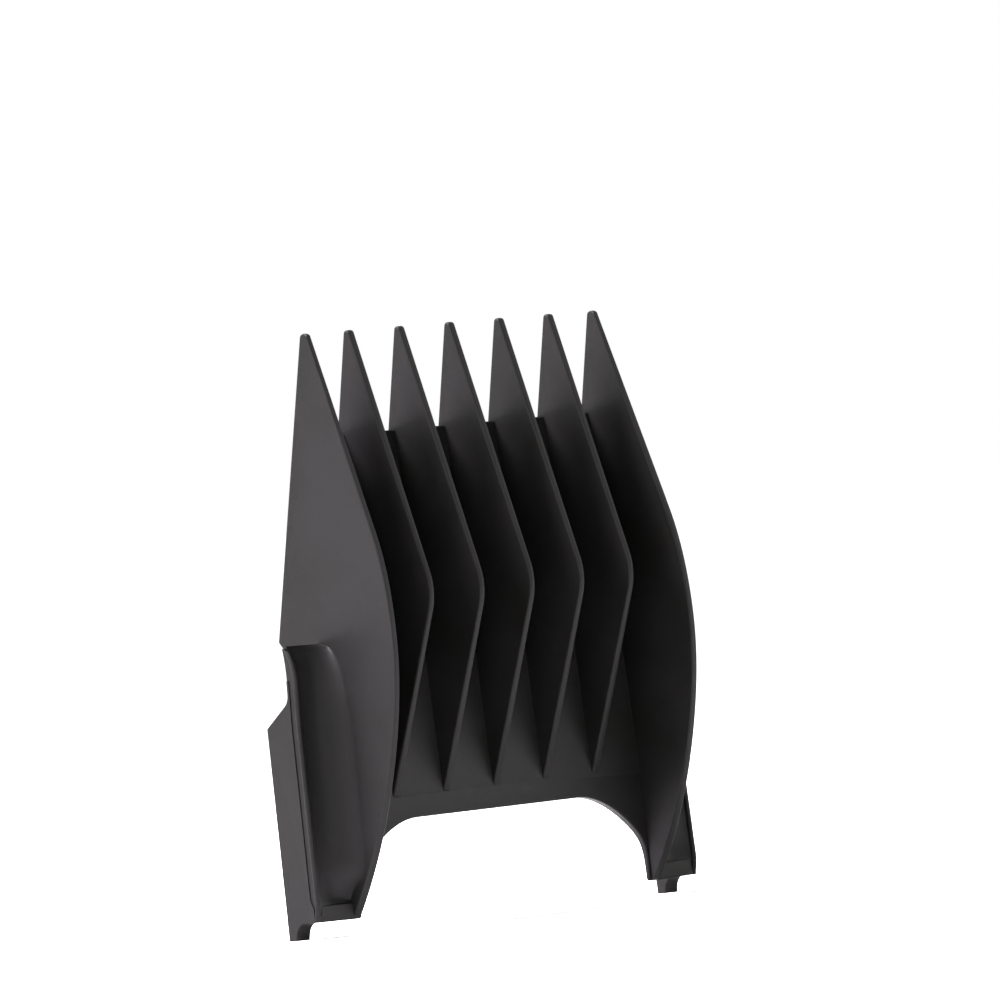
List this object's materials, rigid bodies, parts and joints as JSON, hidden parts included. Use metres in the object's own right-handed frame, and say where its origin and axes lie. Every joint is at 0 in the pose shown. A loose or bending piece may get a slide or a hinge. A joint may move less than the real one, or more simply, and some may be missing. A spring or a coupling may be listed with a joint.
{
  "type": "clipper guard comb",
  "caption": "Black slide-on guard comb with long bowed teeth, a tall web behind them and two stepped legs that grip a hair clipper's head.",
  "frame": {"origin": "middle of the footprint, at the level of the rail ends", "axes": "+Z from the legs to the tooth tips, X across the teeth, -Y towards the skin and +Y towards the clipper"},
  "size_m": [0.0498, 0.018, 0.0595],
  "materials": {
    "black_plastic": "fine satin moulded black"
  },
  "bodies": {
    "root": {"web": "black_plastic", "crossbar": "black_plastic", "inner_tooth_1": "black_plastic", "inner_tooth_2": "black_plastic", "inner_tooth_3": "black_plastic", "inner_tooth_4": "black_plastic", "inner_tooth_5": "black_plastic", "left_side_wall": "black_plastic", "left_shoulder": "black_plastic", "left_rail": "black_plastic", "left_foot": "black_plastic", "right_side_wall": "black_plastic", "right_shoulder": "black_plastic", "right_rail": "black_plastic", "right_foot": "black_plastic"}
  },
  "joints": []
}
